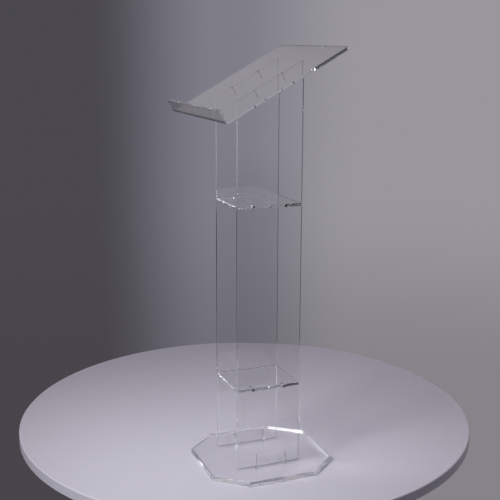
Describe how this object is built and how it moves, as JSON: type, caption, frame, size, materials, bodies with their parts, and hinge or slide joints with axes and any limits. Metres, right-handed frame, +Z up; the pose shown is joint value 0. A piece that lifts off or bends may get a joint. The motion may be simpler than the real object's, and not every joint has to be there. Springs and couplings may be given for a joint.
{
  "type": "presentation lectern",
  "caption": "Free-standing clear acrylic lectern: octagonal base plate, two tall side panels with shelves between them, and a tilted reading plate with a bent lip.",
  "frame": {"origin": "centre of the base plate's underside, on the floor", "axes": "+Z up; the reader stands at -Y and faces +Y; +X is the reader's right"},
  "size_m": [0.45, 0.3875, 1.1998],
  "materials": {
    "clear_acrylic": "clear cast acrylic sheet, glossy faces, polished edges",
    "stainless_screw": "turned stainless steel with rolled threads"
  },
  "bodies": {
    "root": {"base_plate": "clear_acrylic", "side_panel_left": "clear_acrylic", "side_panel_right": "clear_acrylic", "lower_shelf": "clear_acrylic", "upper_shelf": "clear_acrylic", "reading_plate": "clear_acrylic", "base_screw_left_reader": "stainless_screw", "base_screw_left_hall": "stainless_screw", "base_screw_right_reader": "stainless_screw", "base_screw_right_hall": "stainless_screw", "lower_shelf_screw_left_reader": "stainless_screw", "lower_shelf_screw_left_hall": "stainless_screw", "lower_shelf_screw_right_reader": "stainless_screw", "lower_shelf_screw_right_hall": "stainless_screw", "upper_shelf_screw_left_reader": "stainless_screw", "upper_shelf_screw_left_hall": "stainless_screw", "upper_shelf_screw_right_reader": "stainless_screw", "upper_shelf_screw_right_hall": "stainless_screw", "plate_screw_left_reader": "stainless_screw", "plate_screw_left_hall": "stainless_screw", "plate_screw_right_reader": "stainless_screw", "plate_screw_right_hall": "stainless_screw"}
  },
  "joints": []
}
